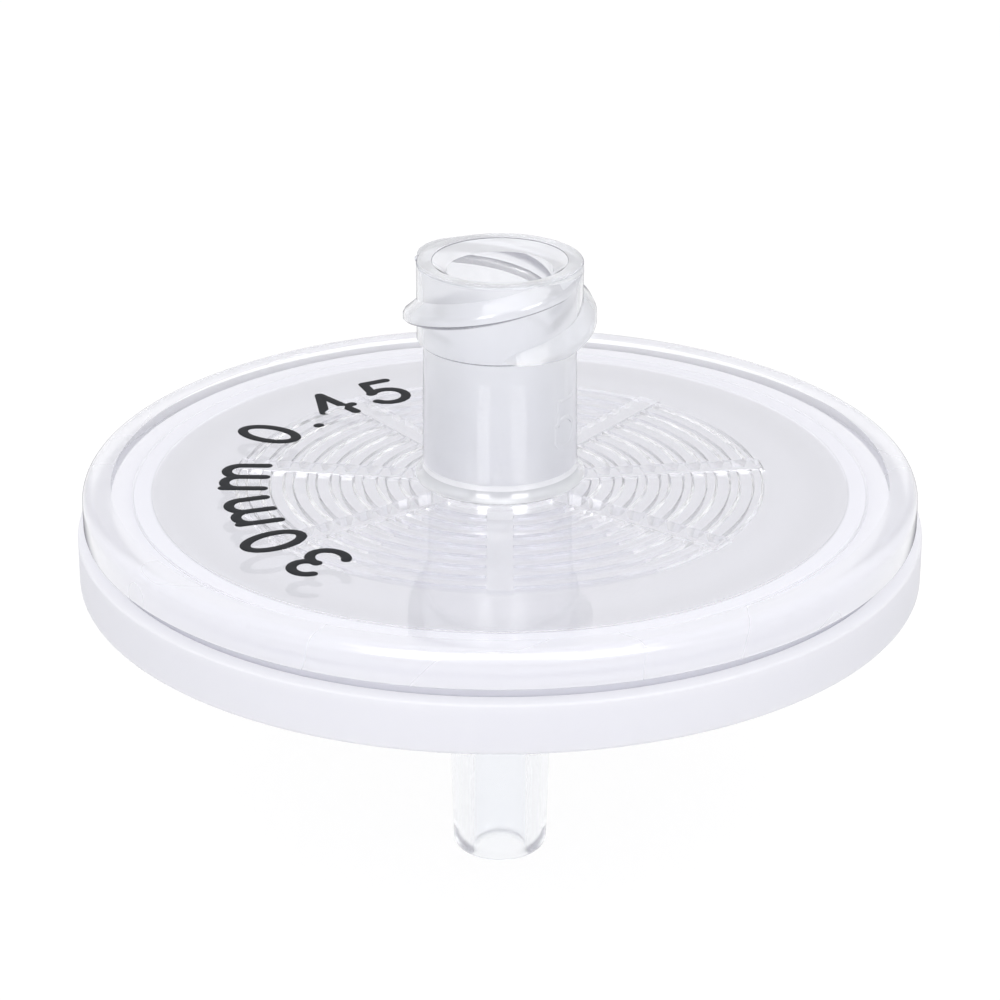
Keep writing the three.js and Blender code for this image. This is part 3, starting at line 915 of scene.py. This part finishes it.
def clear_place(height, radius, upward):
    """Which finish a face of the clear shell takes."""
    if height > DISC_TOP + NEAR:
        return hub_place(height, radius, upward)
    if radius > SKIRT_INNER_RADIUS - BEYOND:
        # Faces beside the joint take painted shade where they are seen from the air
        beside_joint = height < FLANGE_BOTTOM + NEAR and radius > SKIRT_OUTER_RADIUS - BEYOND
        return "joint" if beside_joint else "rim"
    # Walls of the grooves, channels and well take painted shade
    if INLET_WELL_RADIUS - BEYOND < radius < CHANNEL_REACH + BEYOND and abs(upward) < NOT_A_WALL:
        return "groove wall"
    return "plate"


def white_finishes():
    """The white shell's finishes, first that of its wall, by the place that each is for."""
    return {
        "wall": white_plastic("white_plastic", translucency=0.05, paleness=0.81),
        "spout": clear_plastic("spout_plastic", (0.97, 0.98, 1, 1), 0.98, (0.12, 0.18), last_bend=3),
        # Painted light: the seat is a paler copy of the white plastic, so that the ring seen under the clear
        # rim reads brighter
        "seat": white_plastic("white_seat", translucency=0, paleness=0.85),
    }


def white_place(height, radius, _upward):
    """Which finish a face of the white shell takes."""
    if height < DISC_BOTTOM - NEAR:
        return "spout"
    outside_drains = radius > DRAIN_OUTER_RADIUS + DRAIN_WIDTH / 2 + BEYOND
    return "seat" if outside_drains and height > MEMBRANE_BOTTOM - NEAR else "wall"


def give_finishes(piece, finishes, place_of):
    """Gives a piece the rest of its finishes, and each face the one for its height, radius and slope."""
    places = list(finishes)
    for place in places[1:]:
        piece.data.materials.append(finishes[place])
    for face in piece.data.polygons:
        place = place_of(face.center.z / MM, face.center.xy.length / MM, face.normal.z)
        face.material_index = places.index(place)


# Studio, in metres

CAMERA_PLACE = (0, -0.12695, 0.07119)
CAMERA_TILT = 66.53  # degrees from looking straight down
CAMERA_LENS = 120.7
LAMP_AIM = 0.016  # the height that the lamps point at
FLOOR_SIZE = 3
FLOOR_DROP = 0.00002  # below the spout's end
FLOOR_GLOW = 1.06
FLOOR_GLOW_SHARE = 0.85
LIGHT_BOUNCES = 32  # for the many faces of the clear shell


def seen_by_camera_and_glass(nodes, links):
    """1 where a camera, glossy or transmission ray looks, 0 for the light that falls on the part."""
    path = nodes.new("ShaderNodeLightPath")
    total = path.outputs["Is Camera Ray"]
    for name in ("Is Glossy Ray", "Is Transmission Ray"):
        total = calculated(nodes, links, "MAXIMUM", total, path.outputs[name])
    return total


def studio_floor():
    deselect()
    bpy.ops.mesh.primitive_plane_add(size=FLOOR_SIZE, location=(0, 0, -FLOOR_DROP))
    floor = bpy.context.object
    floor.name = "studio_floor"
    material, nodes, links = new_material("studio_floor")
    shader = nodes["Principled BSDF"]
    shader.inputs["Base Color"].default_value = (0.88, 0.88, 0.88, 1)
    shader.inputs["Roughness"].default_value = 0.9
    glow = nodes.new("ShaderNodeEmission")
    glow.inputs["Strength"].default_value = FLOOR_GLOW
    seen = seen_by_camera_and_glass(nodes, links)
    share = calculated(nodes, links, "MULTIPLY", seen, FLOOR_GLOW_SHARE)
    surface = blended(nodes, links, share, shader.outputs["BSDF"], glow.outputs["Emission"])
    links.new(surface, nodes["Material Output"].inputs["Surface"])
    floor.data.materials.append(material)


def studio_world():
    """White to look at. The light that falls on the part is softer, and a little stronger from above."""
    world = bpy.data.worlds.new("studio")
    bpy.context.scene.world = world
    world.use_nodes = True
    nodes, links = world.node_tree.nodes, world.node_tree.links
    background = nodes["Background"]
    background.inputs["Color"].default_value = (1, 1, 1, 1)
    place = nodes.new("ShaderNodeTexCoord")
    split = nodes.new("ShaderNodeSeparateXYZ")
    links.new(place.outputs["Generated"], split.inputs["Vector"])
    overhead = ranged(nodes, links, split.outputs["Z"], 0.75, 0.8)
    level = nodes.new("ShaderNodeMix")
    links.new(seen_by_camera_and_glass(nodes, links), level.inputs["Factor"])
    links.new(overhead, level.inputs["A"])
    level.inputs["B"].default_value = 1
    links.new(level.outputs["Result"], background.inputs["Strength"])


def lamp(name, place, size, power, fills=True):
    """A rectangular lamp. One that doesn't fill leaves matt surfaces unlit."""
    deselect()
    bpy.ops.object.light_add(type="AREA", location=place)
    light = bpy.context.object
    light.name = name
    light.data.shape = "RECTANGLE"
    light.data.size, light.data.size_y = size
    light.data.energy = power
    direction = -light.location
    direction.z += LAMP_AIM
    light.rotation_euler = direction.to_track_quat("-Z", "Y").to_euler()
    light.visible_diffuse = fills
    return light


def studio_camera():
    deselect()
    bpy.ops.object.camera_add(location=CAMERA_PLACE, rotation=(math.radians(CAMERA_TILT), 0, 0))
    camera = bpy.context.object
    camera.name = "studio_camera"
    camera.data.sensor_width = 36
    camera.data.lens = CAMERA_LENS
    camera.data.clip_start = 0.01
    bpy.context.scene.camera = camera


def render_settings():
    scene = bpy.context.scene
    scene.view_settings.view_transform = "Standard"
    scene.cycles.max_bounces = LIGHT_BOUNCES
    scene.cycles.transmission_bounces = LIGHT_BOUNCES
    scene.cycles.transparent_max_bounces = LIGHT_BOUNCES


studio_camera()
studio_world()
studio_floor()
lamp("left_softbox", (-0.085, -0.19, 0.095), (0.07, 0.075), 0.11, fills=False)
lamp("right_softbox", (0.1, -0.184, 0.095), (0.085, 0.075), 0.13, fills=False)
lamp("top_softbox", (0, -0.20, 0.30), (0.40, 0.30), 0.7)
render_settings()

finishes = clear_finishes()
clear = finished(clear_shell(), finishes["plate"])
give_finishes(clear, finishes, clear_place)
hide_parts("inlet_shell")

sheet = finished(membrane_sheet(), nylon())
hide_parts("membrane")

finishes = white_finishes()
white = finished(white_shell(), finishes["wall"])
give_finishes(white, finishes, white_place)
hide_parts("outlet_shell")

# Without a shadow and a reflection of its own, the print shows less of a double
text = finished(disc_print(), ink())
text.visible_shadow = False
text.visible_diffuse = False
text.visible_glossy = False
